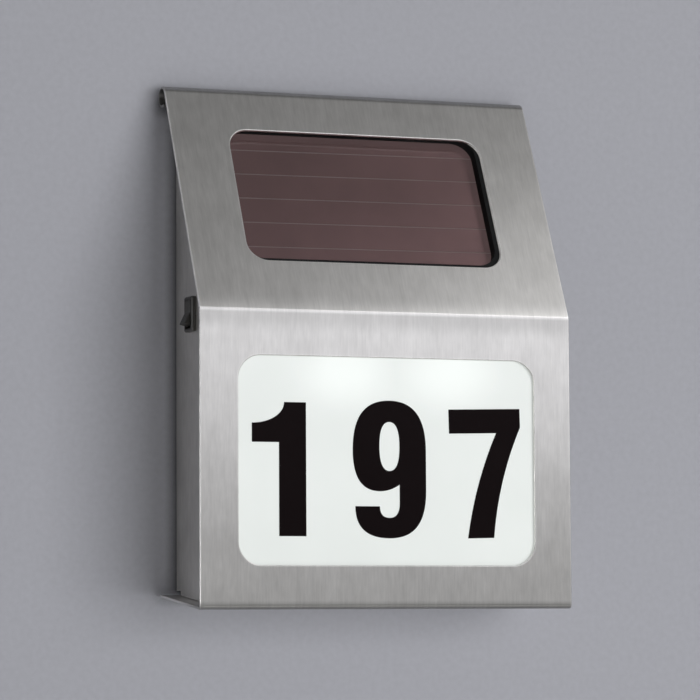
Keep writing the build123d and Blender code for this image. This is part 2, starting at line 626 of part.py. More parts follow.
# Two cells, the upper one with its nipple to the left, the lower one turned round
cells = []
for z, side in zip(row_z, (-1, 1)):
    start = Vector(-side * cell_half, cell_axis_y, z)
    can = peg(start, (side, 0, 0), CELL_DIAMETER, CELL_LENGTH - CELL_NIPPLE_HEIGHT)
    nipple = peg(start, (side, 0, 0), CELL_NIPPLE_DIAMETER, CELL_LENGTH)
    cells.append((can + nipple).solid())
save(Compound(cells), "battery_cells")

# Leaf contacts: a sprung fold touches the cell, and a tab passes out through the end wall
spring_end = cell_axis_y - CELL_DIAMETER / 4
wall_x = -contact_half + CONTACT_SHEET
touch_x = -cell_half - FIT_GAP / 3
contact_path = Polyline(
    (-contact_half - HOLDER_WALL - TAB_LENGTH, tab_y),
    (wall_x, tab_y),
    (touch_x, cell_axis_y),
    (wall_x, spring_end),
)
contact_face = make_face(contact_path.offset_2d(CONTACT_SHEET, side=Side.RIGHT, closed=True))
contacts = []
for z in row_z:
    contact = extrude(Plane.XY.offset(z - CONTACT_WIDTH / 2) * contact_face, amount=CONTACT_WIDTH)
    contacts.append(contact.solid())
save(Compound(contacts), "battery_contacts")
bridge_path = Polyline((-wall_x, tab_y), (-touch_x, cell_axis_y), (-wall_x, spring_end))
bridge_face = make_face(bridge_path.offset_2d(CONTACT_SHEET, side=Side.LEFT, closed=True))
bridge_width = CELL_SPACING + CONTACT_WIDTH
bridge = extrude(Plane.XY.offset(HOLDER.origin.Z - bridge_width / 2) * bridge_face, amount=bridge_width)
save(bridge, "battery_bridge")

# Switch housing: bezel outside the wall, body through it, snap wedges behind it
bezel_outline = RectangleRounded(BEZEL_WIDTH, BEZEL_HEIGHT, BEZEL_RADIUS)
bezel = extrude(SWITCH_FACE * bezel_outline, amount=BEZEL_THICKNESS)
bezel = chamfer(bezel.faces().sort_by(Axis.X)[0].edges(), BEZEL_RADIUS / 2)
body = extrude(SWITCH_FACE * Rectangle(SWITCH_BODY_WIDTH, SWITCH_BODY_HEIGHT), amount=-SWITCH_BODY_DEPTH)
switch_housing = bezel + body
well = Rectangle(SWITCH_BODY_WIDTH - 2 * SWITCH_WALL, SWITCH_BODY_HEIGHT - 2 * SWITCH_WALL)
well_depth = BEZEL_THICKNESS + SWITCH_CAVITY_DEPTH
switch_housing -= extrude(SWITCH_FACE.offset(BEZEL_THICKNESS) * well, amount=-well_depth)
for side in (-1, 1):
    edge = SWITCH_BODY_HEIGHT / 2
    wedge_face = make_face(
        Polyline(
            (-TRAY_HALF + TRAY_SHEET + FIT_GAP / 3, side * (edge + SNAP_HEIGHT)),
            (-TRAY_HALF + TRAY_SHEET + FIT_GAP / 3, side * edge),
            (-TRAY_HALF + TRAY_SHEET + SNAP_LENGTH, side * edge),
            close=True,
        )
    )
    wedge = extrude(Plane.XZ * wedge_face, amount=SWITCH_BODY_WIDTH / 4, both=True)
    switch_housing += Pos(0, SWITCH_Y, SWITCH_Z) * wedge

PIVOT = Vector(-TRAY_HALF + PIVOT_DEPTH, SWITCH_Y, SWITCH_Z)
pin_bore = PIN_DIAMETER + 2 * PIN_CLEARANCE
well_half = SWITCH_BODY_WIDTH / 2 - SWITCH_WALL
switch_housing -= peg(PIVOT - Vector(0, SWITCH_BODY_WIDTH, 0), (0, 1, 0), pin_bore, 2 * SWITCH_BODY_WIDTH)

# Two blades in slots at the inner end of the switch
blade_slots = []
inner_end = -TRAY_HALF + SWITCH_BODY_DEPTH
for side in (-1, 1):
    blade = Box(BLADE_SEAT + BLADE_LENGTH, BLADE_WIDTH, BLADE_THICKNESS)
    blade_x = inner_end + (BLADE_LENGTH - BLADE_SEAT) / 2
    blade_slots.append(Pos(blade_x, SWITCH_Y, SWITCH_Z + side * BLADE_SPACING / 2) * blade)
for blade in blade_slots:
    switch_housing -= blade
save(switch_housing, "switch_housing")
save(Compound(blade_slots), "switch_terminals")

# Rocker: two wings that meet in a shallow valley, tilted with the lower end out
half = ROCKER_LENGTH / 2
valley = ROCKER_VALLEY + PIVOT_DEPTH
crown = valley + half * math.tan(math.radians(ROCKER_TILT))
web = PIN_DIAMETER / 3
keel = SWITCH_CAVITY_DEPTH - PIVOT_DEPTH - 2 * ROCKER_GAP - web
rocker_outline = Polyline(
    (-valley, 0),
    (-crown, half),
    (-web, half),
    (web, PIN_DIAMETER),
    (keel, PIN_DIAMETER / 2),
    (keel, -PIN_DIAMETER / 2),
    (web, -PIN_DIAMETER),
    (-web, -half),
    (-crown, -half),
    close=True,
)
rocker_half_width = well_half - ROCKER_GAP
rocker = extrude(Plane.XZ * make_face(rocker_outline), amount=rocker_half_width, both=True)
rocker = fillet(rocker.faces().group_by(Axis.X)[0].edges(), ROCKER_EDGE)
pin_reach = rocker_half_width + ROCKER_GAP + PIN_LENGTH
rocker += peg((0, -pin_reach, 0), (0, 1, 0), PIN_DIAMETER, 2 * pin_reach)
switch_rocker = Pos(PIVOT) * Rot(0, ROCKER_TILT, 0) * rocker
save(switch_rocker, "switch_rocker")

# Cover screws from below, into nuts pressed into the tray's lower lip
cover_screws = []
nuts = []
for seat in SCREW_SEATS:
    head = peg(seat, -FLANGE_UP, COVER_SCREW_HEAD, COVER_SCREW_HEAD_HEIGHT)
    head = fillet(head.edges().sort_by(Axis.Z)[0], COVER_SCREW_HEAD_HEIGHT / 2)
    shank = peg(seat, FLANGE_UP, COVER_SCREW_DIAMETER, COVER_SCREW_LENGTH)
    cover_screws.append((head + shank).solid())
    nut_seat = seat + FLANGE_UP * (INSIDE + TRAY_SHEET)
    nut = peg(nut_seat, FLANGE_UP, NUT_DIAMETER, NUT_HEIGHT)
    nuts.append((nut - peg(nut_seat, FLANGE_UP, nut_bore, NUT_HEIGHT)).solid())
save(Compound(cover_screws), "cover_screws")
save(Compound(nuts), "lip_nuts")


def lead(points):
    """Round lead along straight runs with arcs as large as the runs allow."""
    points = [Vector(p) for p in points]
    radii = []
    for before, corner, after in zip(points, points[1:], points[2:]):
        turn = math.radians((corner - before).get_angle(after - corner))
        run = min((corner - before).length, (after - corner).length)
        radii.append(LEAD_BEND_SHARE * run / math.tan(turn / 2))
    path = FilletPolyline(*points, radius=radii)
    section = Plane(origin=points[0], z_dir=points[1] - points[0]) * Circle(LEAD_DIAMETER / 2)
    return sweep(section, path)


# Solar leads: from the cap's lower end down to the board
pad_z = board_z + BOARD_THICKNESS
pad_y = BOARD.origin.Y + LEAD_ROW
rise = Vector(0, 0, LEAD_RISE)
aside = Vector(LEAD_RISE, 0, 0)
down_panel = -cap_seat.y_dir * LEAD_RISE
for node, side in (("solar_lead_red", 1), ("solar_lead_black", -1)):
    across = side * LEAD_PAIR_SPACING / 2
    start = cap_seat.from_local_coords((across, -CAP_WIDTH / 2, -CAP_THICKNESS / 2))
    end = Vector(start.X, pad_y, pad_z)
    save(lead([start, start + down_panel, end + rise, end]), node)

# Red battery lead: from the upper tab to the switch
tab_tip = -contact_half - HOLDER_WALL - TAB_LENGTH
upper_tab, lower_tab = (Vector(tab_tip, tab_y - CONTACT_SHEET / 2, z) for z in row_z)
blade_tip = inner_end + BLADE_LENGTH
lower_blade, upper_blade = (
    Vector(blade_tip, SWITCH_Y, SWITCH_Z + side * BLADE_SPACING / 2) for side in (-1, 1)
)
red_turn = upper_blade + aside + rise
red_route = [upper_tab, upper_tab - aside, red_turn, upper_blade + aside / 2, upper_blade]
save(lead(red_route), "battery_lead_red")

# Black battery lead: from the lower tab to the board
board_left = BOARD.origin.X - BOARD_LENGTH / 2
black_end = Vector(board_left + 2 * LEAD_PAIR_SPACING, pad_y, pad_z)
swing = lower_tab - aside
halfway = (lower_tab + black_end + rise) / 2
black_route = [lower_tab, swing, Vector(swing.X, halfway.Y, halfway.Z), black_end + rise, black_end]
save(lead(black_route), "battery_lead_black")

# Switch lead: from the lower blade to the board
switch_end = Vector(board_left + LEAD_PAIR_SPACING, pad_y, pad_z)
save(lead([lower_blade, lower_blade + aside, switch_end + rise, switch_end]), "switch_lead")
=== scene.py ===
import bpy
import math
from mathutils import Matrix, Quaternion, Vector


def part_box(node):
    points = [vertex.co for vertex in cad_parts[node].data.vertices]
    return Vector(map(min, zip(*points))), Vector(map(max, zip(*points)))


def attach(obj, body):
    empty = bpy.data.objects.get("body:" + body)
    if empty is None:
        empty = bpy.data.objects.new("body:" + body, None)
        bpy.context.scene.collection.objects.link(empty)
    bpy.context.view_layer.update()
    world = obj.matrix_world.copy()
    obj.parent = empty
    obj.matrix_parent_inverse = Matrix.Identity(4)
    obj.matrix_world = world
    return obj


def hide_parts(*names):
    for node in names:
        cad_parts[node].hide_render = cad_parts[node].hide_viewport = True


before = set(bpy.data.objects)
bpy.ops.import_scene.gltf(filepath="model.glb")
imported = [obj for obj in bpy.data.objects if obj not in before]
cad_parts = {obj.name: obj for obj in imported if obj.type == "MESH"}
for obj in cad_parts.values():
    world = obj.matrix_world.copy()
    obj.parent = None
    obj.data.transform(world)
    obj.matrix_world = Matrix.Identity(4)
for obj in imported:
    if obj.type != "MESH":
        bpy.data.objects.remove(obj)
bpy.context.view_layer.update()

# Front cover: one sheet of 1 mm stainless steel, brushed along its length before it was folded,
# with a rolled top edge, a slope, an upright panel and a flange. It hooks over the wall tray at
# the top, and two screws hold its flange underneath.


def add(tree, kind, values=None, **settings):
    """A new node in a tree, with its settings and the values on its own sockets."""
    made = tree.nodes.new(kind)
    for name, value in settings.items():
        setattr(made, name, value)
    for socket, value in (values or {}).items():
        made.inputs[socket].default_value = value
    return made


def new_group(name, *outputs):
    """An empty shader node group with outputs for values, and its output node."""
    group = bpy.data.node_groups.new(name, "ShaderNodeTree")
    for output in outputs:
        group.interface.new_socket(output, in_out="OUTPUT", socket_type="NodeSocketFloat")
    return group, add(group, "NodeGroupOutput")


def vector_input(group):
    """A Vector input on a group, for the coordinates of the material that uses it."""
    group.interface.new_socket("Vector", in_out="INPUT", socket_type="NodeSocketVector")
    return add(group, "NodeGroupInput").outputs["Vector"]


def new_finish(name, values):
    """A new material, with the plain values of its Principled shader."""
    material = bpy.data.materials.new(name)
    material.use_nodes = True
    tree = material.node_tree
    shader = tree.nodes["Principled BSDF"]
    for socket, value in values.items():
        shader.inputs[socket].default_value = value
    return material, tree, shader


def paint(material, *names):
    """Gives CAD nodes a finish through their own material slots."""
    for name in names:
        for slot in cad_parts[name].material_slots:
            slot.material = material


def spread(tree, value, low, high, low_to, high_to):
    """Maps a value from one range to another."""
    made = add(tree, "ShaderNodeMapRange", {1: low, 2: high, 3: low_to, 4: high_to})
    tree.links.new(value, made.inputs[0])
    return made.outputs[0]


def varied(tree, noise, low_to, high_to, swing=0.2):
    """Spreads the range where most of a noise lies, 0.5 plus or minus the swing, over another."""
    return spread(tree, noise, 0.5 - swing, 0.5 + swing, low_to, high_to)


def smooth_step(tree, value, low, high):
    """A value that eases from 0 at low to 1 at high."""
    made = add(tree, "ShaderNodeMapRange", {1: low, 2: high}, interpolation_type="SMOOTHSTEP")
    tree.links.new(value, made.inputs[0])
    return made.outputs[0]


def combine(tree, operation, first, second):
    """Math on two values, each a socket or a number."""
    made = add(tree, "ShaderNodeMath", operation=operation)
    for place, value in enumerate((first, second)):
        if isinstance(value, (int, float)):
            made.inputs[place].default_value = value
        else:
            tree.links.new(value, made.inputs[place])
    return made.outputs[0]


def tinted(tree, colour, tone):
    """A colour made lighter and darker by a tone about 1."""
    made = add(tree, "ShaderNodeMix", {6: (*colour, 1.0), 0: 1.0}, data_type="RGBA", blend_type="MULTIPLY")
    tree.links.new(tone, made.inputs[7])
    return made.outputs[2]


def bumped(tree, shader, height, distance, strength):
    """A fine relief on the shader's normal."""
    bump = add(tree, "ShaderNodeBump", {"Distance": distance, "Strength": strength})
    tree.links.new(height, bump.inputs["Height"])
    tree.links.new(bump.outputs["Normal"], shader.inputs["Normal"])


def stretched(tree, vector, factors):
    """A vector multiplied axis by axis."""
    made = add(tree, "ShaderNodeVectorMath", operation="MULTIPLY")
    made.inputs[1].default_value = factors
    tree.links.new(vector, made.inputs[0])
    return made.outputs[0]


def noise_at(tree, vector, scale, detail):
    """Noise of a scale per metre, or of a scale for each axis."""
    if not isinstance(scale, float):
        vector = stretched(tree, vector, scale)
        scale = 1.0
    noise = add(tree, "ShaderNodeTexNoise", {"Scale": scale, "Detail": detail})
    tree.links.new(vector, noise.inputs["Vector"])
    return noise.outputs["Fac"]


def object_coordinates(tree):
    """The place on a piece, in metres in the shared frame."""
    return add(tree, "ShaderNodeTexCoord").outputs["Object"]


# The brushing runs along Z on the input vector: hairlines, wider bands, patches, and clouds from handling
HAIRLINES = (1500.0, 1500.0, 130.0)
BANDS = (420.0, 420.0, 30.0)
PATCHES = (330.0, 330.0, 160.0)
CLOUDS = 60.0
STREAK_SWING = 0.25
grain, grain_out = new_group("brushed_grain", "Tone", "Roughness", "Height")
along = vector_input(grain)
hairline = noise_at(grain, along, HAIRLINES, 2.0)
band = noise_at(grain, along, BANDS, 2.0)
cloud = noise_at(grain, along, CLOUDS, 4.0)
patch = noise_at(grain, along, PATCHES, 3.0)
streaks = combine(
    grain,
    "MULTIPLY",
    varied(grain, hairline, 0.94, 1.06, STREAK_SWING),
    varied(grain, band, 0.97, 1.03, STREAK_SWING),
)
blotches = combine(
    grain, "MULTIPLY", varied(grain, cloud, 0.945, 1.055), varied(grain, patch, 0.965, 1.035)
)
polish = combine(
    grain, "ADD", varied(grain, hairline, 0.34, 0.38, STREAK_SWING), varied(grain, cloud, -0.005, 0.005)
)
grain.links.new(combine(grain, "MULTIPLY", streaks, blotches), grain_out.inputs["Tone"])
grain.links.new(polish, grain_out.inputs["Roughness"])
grain.links.new(hairline, grain_out.inputs["Height"])

# Painted highlight along cut edges: a mask that rises where the surface turns within the edge's reach
EDGE_REACH = 0.0012
NOT_TURNED = 0.995
WELL_TURNED = 0.93
edge_highlight_group, edge_highlight_out = new_group("painted_edge_highlight", "Mask")
rounded = add(edge_highlight_group, "ShaderNodeBevel", {"Radius": EDGE_REACH}, samples=6)
facing = add(edge_highlight_group, "ShaderNodeNewGeometry")
turn = add(edge_highlight_group, "ShaderNodeVectorMath", operation="DOT_PRODUCT")
edge_highlight_group.links.new(rounded.outputs["Normal"], turn.inputs[0])
edge_highlight_group.links.new(facing.outputs["Normal"], turn.inputs[1])
edge_highlight_group.links.new(spread(edge_highlight_group, turn.outputs["Value"], NOT_TURNED, WELL_TURNED, 0.0, 1.0), edge_highlight_out.inputs["Mask"])

# Painted shade in hollows: a tone of 1 in the open, and less where the piece closes in on itself
HOLLOW_SHADE_REACH = 0.006
HOLLOW_SHADE_DARKEST = 0.25
hollow_shade_group, hollow_shade_out = new_group("painted_hollow_shade", "Tone")
closed_in = add(hollow_shade_group, "ShaderNodeAmbientOcclusion", {"Distance": HOLLOW_SHADE_REACH}, samples=8, only_local=True)
openness = spread(hollow_shade_group, closed_in.outputs["AO"], 0.20, 0.70, HOLLOW_SHADE_DARKEST, 1.0)
hollow_shade_group.links.new(openness, hollow_shade_out.inputs["Tone"])

# Heights of the painted highlight above the fold and of the painted shade below it and at the lower bend, and
# depths of the painted shade on the roll
FOLD_Z = -0.0648
BRIGHT_START = FOLD_Z + 0.0075
BRIGHT_FULL = FOLD_Z + 0.0003
BEND_TOP = FOLD_Z + 0.0008
BELOW_FOLD_SHADE_START = FOLD_Z - 0.0002
BELOW_FOLD_SHADE_FULL = FOLD_Z - 0.0014
BELOW_FOLD_SHADE_FADING = FOLD_Z - 0.0025
BELOW_FOLD_SHADE_END = FOLD_Z - 0.0105
BOTTOM_Z = -0.1900
BEND_SHADE_START = BOTTOM_Z + 0.0042
BEND_SHADE_FULL = BOTTOM_Z + 0.0008
ROLL_FRONT = -0.0096
ROLL_FULL = -0.0072
FOLD_HIGHLIGHT_TONE = 1.42
BELOW_FOLD_SHADE_TONE = 0.82
BEND_SHADE_TONE = 0.55
ROLL_SHADE_TONE = 0.52


def fold_painted_light(tree, place):
    """A tone about 1: a painted highlight above the fold, and painted shade below it, along the lower bend and
    on the roll's back.
    """
    apart = add(tree, "ShaderNodeSeparateXYZ")
    tree.links.new(place, apart.inputs[0])
    y = apart.outputs["Y"]
    z = apart.outputs["Z"]
    nearing = combine(tree, "POWER", spread(tree, z, BRIGHT_START, BRIGHT_FULL, 0.0, 1.0), 2.0)
    fold_highlight = combine(tree, "MULTIPLY", nearing, smooth_step(tree, z, FOLD_Z, BEND_TOP))
    dulling_and_shade = smooth_step(tree, z, BELOW_FOLD_SHADE_START, BELOW_FOLD_SHADE_FULL)
    below_fold_shade = combine(tree, "MULTIPLY", dulling_and_shade, smooth_step(tree, z, BELOW_FOLD_SHADE_END, BELOW_FOLD_SHADE_FADING))
    bend_shade = smooth_step(tree, z, BEND_SHADE_START, BEND_SHADE_FULL)
    above = combine(tree, "GREATER_THAN", z, 0.0)
    rolled = combine(tree, "MULTIPLY", smooth_step(tree, y, ROLL_FRONT, ROLL_FULL), above)
    tone = spread(tree, fold_highlight, 0.0, 1.0, 1.0, FOLD_HIGHLIGHT_TONE)
    for mask, darkest in ((below_fold_shade, BELOW_FOLD_SHADE_TONE), (bend_shade, BEND_SHADE_TONE), (rolled, ROLL_SHADE_TONE)):
        tone = combine(tree, "MULTIPLY", tone, spread(tree, mask, 0.0, 1.0, 1.0, darkest))
    return tone


# How much the painted highlight lightens the steel along edges, and the hairlines' depth
EDGE_HIGHLIGHT_TONE = 1.45
HAIRLINE_DEPTH = 0.00002


def brushed_steel(name, colour, stretch, dullness, anisotropy, painted_light=None):
    """Brushed stainless steel: the stretch draws the grain out, the dullness adds to its roughness; its colour
    holds a painted highlight on edges and painted shade in hollows, and the last argument adds further painted
    highlight and shade by height.
    """
    material, tree, shader = new_finish(name, {"Metallic": 1.0, "Anisotropic": anisotropy})
    place = object_coordinates(tree)
    brushing = add(tree, "ShaderNodeGroup", node_tree=grain)
    tree.links.new(stretched(tree, place, stretch), brushing.inputs["Vector"])
    # Painted highlight along the edges and painted shade in hollows, multiplied into the base colour
    edges = add(tree, "ShaderNodeGroup", node_tree=edge_highlight_group)
    hollows = add(tree, "ShaderNodeGroup", node_tree=hollow_shade_group)
    edge_highlight_tone = spread(tree, edges.outputs["Mask"], 0.0, 1.0, 1.0, EDGE_HIGHLIGHT_TONE)
    edge_highlight_and_hollow_shade = combine(tree, "MULTIPLY", edge_highlight_tone, hollows.outputs["Tone"])
    shade = combine(tree, "MULTIPLY", brushing.outputs["Tone"], edge_highlight_and_hollow_shade)
    if painted_light is not None:
        shade = combine(tree, "MULTIPLY", shade, painted_light(tree, place))
    tree.links.new(tinted(tree, colour, shade), shader.inputs["Base Color"])
    tree.links.new(combine(tree, "ADD", brushing.outputs["Roughness"], dullness), shader.inputs["Roughness"])
    bumped(tree, shader, brushing.outputs["Height"], HAIRLINE_DEPTH, 0.25)
    across = add(tree, "ShaderNodeCombineXYZ", {"X": 1.0})
    tree.links.new(across.outputs[0], shader.inputs["Tangent"])
    return material


# The cover's colour also holds painted highlight and shade at the fold, the lower bend and the roll
cover_steel = brushed_steel("cover_steel", (0.62, 0.61, 0.595), (1.0, 0.04, 1.0), 0.0, 0.55, fold_painted_light)
paint(cover_steel, "front_cover")

# Wall tray: a channel of 0.8 mm stainless sheet with a shelf, a hook and a lower lip folded from
# its back. Its side walls stand in from the cover's edges, and two screws hold it to the wall.
tray_steel = brushed_steel("tray_steel", (0.62, 0.607, 0.59), (1.0, 1.0, 1.0), 0.04, 0.0)
paint(tray_steel, "wall_tray")

# Number pane: 3 mm opal acrylic, lit from behind by two lamps near its top edge. A frame of clear
# double-sided tape holds it to the back of the cover.
LAMP_XS = (-0.0191, 0.0274)
LAMP_Z = -0.0905
SPOT_REACH = 0.034
SPOT_FLATTENING = 1.4
SPOT_GLOW = 0.13
OPAL_TINT = (0.96, 1.0, 0.975)
OPAL_BODY = (0.66, 0.69, 0.67)
opal, tree, shader = new_finish("opal_acrylic", {"Roughness": 0.28, "Emission Strength": 1.0})
place = object_coordinates(tree)
flat = stretched(tree, place, (1.0, 0.0, SPOT_FLATTENING))
spots = []
for lamp_x in LAMP_XS:
    away = add(tree, "ShaderNodeVectorMath", operation="DISTANCE")
    away.inputs[1].default_value = (lamp_x, 0.0, SPOT_FLATTENING * LAMP_Z)
    tree.links.new(flat, away.inputs[0])
    spot = add(
        tree, "ShaderNodeMapRange", {1: 0.0, 2: SPOT_REACH, 3: 1.0, 4: 0.0}, interpolation_type="SMOOTHERSTEP"
    )
    tree.links.new(away.outputs["Value"], spot.inputs[0])
    spots.append(spot.outputs[0])
glow = combine(tree, "MULTIPLY", combine(tree, "MAXIMUM", *spots), SPOT_GLOW)
milk = noise_at(tree, place, 34.0, 2.0)
lit = combine(tree, "ADD", varied(tree, milk, 0.29, 0.31), glow)
tree.links.new(tinted(tree, OPAL_TINT, lit), shader.inputs["Emission Color"])
tree.links.new(tinted(tree, OPAL_BODY, varied(tree, milk, 0.985, 1.01)), shader.inputs["Base Color"])
bumped(tree, shader, noise_at(tree, place, 420.0, 2.0), 0.00002, 0.15)
paint(opal, "number_pane")

tape, tree, shader = new_finish("clear_tape", {"Roughness": 0.45})
fibre = noise_at(tree, object_coordinates(tree), 900.0, 2.0)
tree.links.new(tinted(tree, (0.55, 0.55, 0.52), varied(tree, fibre, 0.92, 1.05)), shader.inputs["Base Color"])
paint(tape, "pane_tape")

# Digits: three black vinyl stickers, cut from calendered film with a faint orange peel. They were
# pressed onto the pane by hand, the last one slightly askew.

# Fine dust settles on plastic: a mask of specks over a thin uneven film
dust, dust_out = new_group("settled_dust", "Mask")
dusty_place = vector_input(dust)
film = spread(dust, noise_at(dust, dusty_place, 60.0, 4.0), 0.42, 0.75, 0.0, 0.5)
speck = spread(dust, noise_at(dust, dusty_place, 2400.0, 1.0), 0.66, 0.78, 0.0, 0.6)
dust.links.new(combine(dust, "ADD", film, speck), dust_out.inputs["Mask"])

PEEL_SWING = 0.05
DUST_DULLING = 0.2


def dusted_plastic(name, colour, dust_colour, roughness, peel_scale, peel_height, shine=0.5):
    """Moulded or calendered plastic with a fine relief and a little dust on it."""
    material, tree, shader = new_finish(name, {"Specular IOR Level": shine})
    place = object_coordinates(tree)
    settled = add(tree, "ShaderNodeGroup", node_tree=dust)
    tree.links.new(place, settled.inputs["Vector"])
    mask = settled.outputs["Mask"]
    mixed = add(tree, "ShaderNodeMix", {6: (*colour, 1.0), 7: (*dust_colour, 1.0)}, data_type="RGBA")
    tree.links.new(mask, mixed.inputs[0])
    tree.links.new(mixed.outputs[2], shader.inputs["Base Color"])
    peel = noise_at(tree, place, peel_scale, 3.0)
    bare = varied(tree, peel, roughness - PEEL_SWING, roughness + PEEL_SWING)
    dulling_and_shade = combine(tree, "ADD", bare, spread(tree, mask, 0.0, 1.0, 0.0, DUST_DULLING))
    tree.links.new(dulling_and_shade, shader.inputs["Roughness"])
    bumped(tree, shader, peel, peel_height, 0.3)
    return material


black_vinyl = dusted_plastic(
    "black_vinyl", (0.0042, 0.0016, 0.0020), (0.007, 0.004, 0.0045), 0.42, 700.0, 0.00003, 0.06
)
paint(black_vinyl, "digit_one", "digit_nine", "digit_seven")

# Solar panel: thin-film cells on the back of a 2 mm glass, a black foam gasket between glass and
# cover, a back sheet, and a small glued cap over the lead ends. The gasket glows a little in
# reflections alone, so that the cells don't mirror its dark inner wall.
GASKET_GLOW = (0.375, 0.365, 0.365)
gasket_foam = dusted_plastic(
    "gasket_foam", (0.010, 0.010, 0.0105), (0.03, 0.03, 0.03), 0.6, 1400.0, 0.00005, 0.1
)
tree = gasket_foam.node_tree
shader = tree.nodes["Principled BSDF"]
path = add(tree, "ShaderNodeLightPath")
mirrored = combine(tree, "SUBTRACT", 1.0, path.outputs["Is Camera Ray"])
tree.links.new(tinted(tree, GASKET_GLOW, mirrored), shader.inputs["Emission Color"])
shader.inputs["Emission Strength"].default_value = 1.0
paint(gasket_foam, "solar_gasket")

# The glass: a ground slab with its sharp edges taken off, drawn in a little at the back so that its
# face and the cells' aren't in one plane. Like the cells, it sits slightly turned behind the opening.
GLASS_SIZE = (0.1261, 0.07523, 0.0020)
GLASS_ARRIS = 0.0003
CELL_GAP = 0.00006
PANEL_TURN = math.radians(0.5)
SLOPE_LEAN = math.radians(25.74)
bpy.ops.object.select_all(action="DESELECT")
bpy.ops.mesh.primitive_cube_add(size=1.0)
panel_glass = bpy.context.object
panel_glass.name = "panel_glass"
panel_glass.scale = (GLASS_SIZE[0], GLASS_SIZE[1], GLASS_SIZE[2] - CELL_GAP)
bpy.ops.object.transform_apply(location=False, rotation=False, scale=True)
bpy.ops.object.mode_set(mode="EDIT")
bpy.ops.mesh.select_all(action="SELECT")
bpy.ops.mesh.bevel(offset=GLASS_ARRIS, segments=2, affect="EDGES")
bpy.ops.transform.translate(value=(0.0, 0.0, CELL_GAP / 2))
bpy.ops.object.mode_set(mode="OBJECT")
panel_glass.rotation_euler = (0.0, 0.0, PANEL_TURN)
bpy.ops.object.transform_apply(location=False, rotation=True, scale=False)
glass_low, glass_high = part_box("solar_glass")
panel_glass.location = (Vector(glass_low) + Vector(glass_high)) / 2
panel_glass.rotation_euler = (math.radians(90) - SLOPE_LEAN, 0.0, 0.0)
bpy.ops.object.transform_apply(location=True, rotation=True, scale=False)
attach(panel_glass, "case")
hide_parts("solar_glass")


def mix_surfaces(tree, factor, at_zero, at_one):
    """Gives a material one shader where the factor is 0 and another where it is 1."""
    mixed = add(tree, "ShaderNodeMixShader")
    tree.links.new(factor, mixed.inputs[0])
    tree.links.new(at_zero.outputs[0], mixed.inputs[1])
    tree.links.new(at_one.outputs[0], mixed.inputs[2])
    tree.links.new(mixed.outputs[0], tree.nodes["Material Output"].inputs["Surface"])


# Light on its way to and from the cells passes straight through, and the eye sees real glass
glass, tree, shader = new_finish(
    "panel_glass", {"Base Color": (0.96, 0.93, 0.93, 1.0), "Transmission Weight": 1.0, "IOR": 1.5}
)
smear = noise_at(tree, object_coordinates(tree), 45.0, 3.0)
tree.links.new(varied(tree, smear, 0.01, 0.03), shader.inputs["Roughness"])
path = add(tree, "ShaderNodeLightPath")
clear = add(tree, "ShaderNodeBsdfTransparent", {"Color": (0.92, 0.90, 0.90, 1.0)})
mix_surfaces(tree, path.outputs["Is Camera Ray"], clear, shader)
panel_glass.data.materials.append(glass)


def silicon(name, colour, metal, roughness):
    """Thin-film silicon or its backing, with faint clouds from the deposition."""
    material, tree, shader = new_finish(name, {"Metallic": metal, "Roughness": roughness})
    cloud = noise_at(tree, object_coordinates(tree), 40.0, 3.0)
    tree.links.new(tinted(tree, colour, varied(tree, cloud, 0.92, 1.08)), shader.inputs["Base Color"])
    return material


paint(silicon("solar_film", (0.195, 0.123, 0.123), 0.9, 0.30), "solar_cells")
paint(silicon("solar_sheet", (0.27, 0.22, 0.22), 0.0, 0.6), "solar_back")
black_plastic = dusted_plastic(
    "moulded_black", (0.013, 0.013, 0.0135), (0.06, 0.06, 0.058), 0.38, 1600.0, 0.00004
)
paint(black_plastic, "junction_cap")

# Rocker switch: black nylon housing snapped into the left side wall, with a rocker on two pins and
# two brass blades at its inner end.
rocker_plastic = dusted_plastic(
    "rocker_plastic", (0.045, 0.043, 0.038), (0.16, 0.155, 0.14), 0.40, 2200.0, 0.00003
)
paint(rocker_plastic, "switch_housing", "switch_rocker")

MOTTLE_SWING = 0.06


def plain_metal(name, colour, roughness):
    """Small turned, stamped or plated metal, with a fine mottle."""
    material, tree, shader = new_finish(name, {"Metallic": 1.0})
    mottle = noise_at(tree, object_coordinates(tree), 900.0, 3.0)
    tree.links.new(tinted(tree, colour, varied(tree, mottle, 0.9, 1.08)), shader.inputs["Base Color"])
    dullness = varied(tree, mottle, roughness - MOTTLE_SWING, roughness + MOTTLE_SWING)
    tree.links.new(dullness, shader.inputs["Roughness"])
    return material


paint(plain_metal("terminal_brass", (0.62, 0.44, 0.17), 0.32), "switch_terminals")

# Light box: white moulded styrene behind the pane, open to the front, which spreads the lamps'
# light. It is stuck to the tray on foam pads, as the battery holder is.
white_plastic = dusted_plastic("moulded_white", (0.80, 0.80, 0.78), (0.70, 0.69, 0.66), 0.45, 900.0, 0.00004)
paint(white_plastic, "light_box", "box_pads", "holder_pad")

# Driver board: green laminate with two white lamps, a chip, a coil and a capacitor, held to the
# light box by two screws.
laminate = dusted_plastic("board_laminate", (0.015, 0.10, 0.035), (0.03, 0.16, 0.06), 0.4, 1800.0, 0.00002)
epoxy = dusted_plastic("lamp_epoxy", (0.75, 0.77, 0.76), (0.70, 0.71, 0.70), 0.2, 500.0, 0.00001)
ferrite = dusted_plastic("ferrite", (0.030, 0.028, 0.027), (0.06, 0.055, 0.05), 0.55, 2500.0, 0.00005)
sleeve = dusted_plastic("capacitor_sleeve", (0.02, 0.03, 0.08), (0.05, 0.06, 0.1), 0.35, 900.0, 0.00001)
paint(laminate, "driver_board")
paint(epoxy, "leds")
paint(ferrite, "driver_coil")
paint(sleeve, "driver_capacitor")
paint(black_plastic, "driver_chip")

